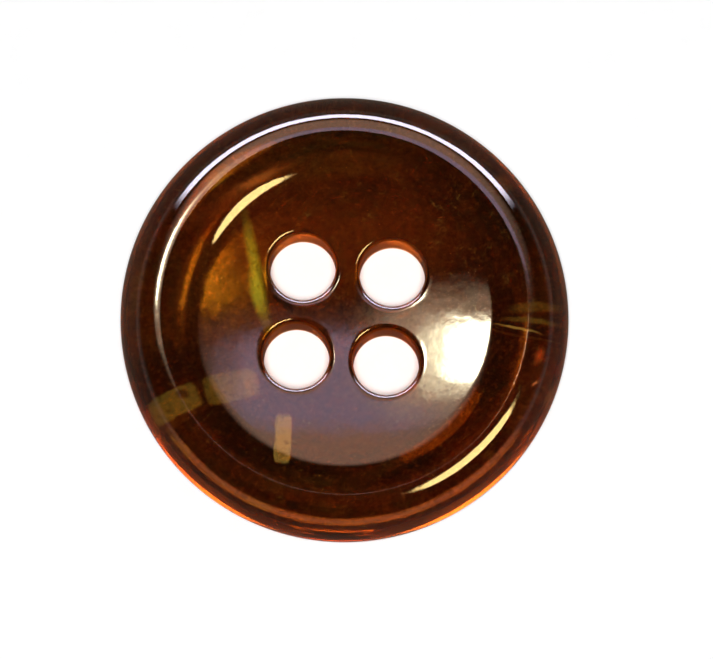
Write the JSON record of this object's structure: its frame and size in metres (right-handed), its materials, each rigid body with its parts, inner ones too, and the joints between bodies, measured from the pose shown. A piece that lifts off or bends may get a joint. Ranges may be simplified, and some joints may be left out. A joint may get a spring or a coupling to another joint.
{
  "type": "sew-on button",
  "caption": "Round dished sew-on button of clear amber resin with dark marbling, with a raised rim and thread holes on a square.",
  "frame": {"origin": "centre of the flat back face", "axes": "+Z along the button's axis, out of the dished face; X and Y along the sides of the square of thread holes"},
  "size_m": [0.015, 0.015, 0.0024],
  "materials": {
    "amber_resin": "polished translucent cast polyester, amber with dark brown marbling"
  },
  "bodies": {
    "root": {"button_disc": "amber_resin"}
  },
  "joints": []
}
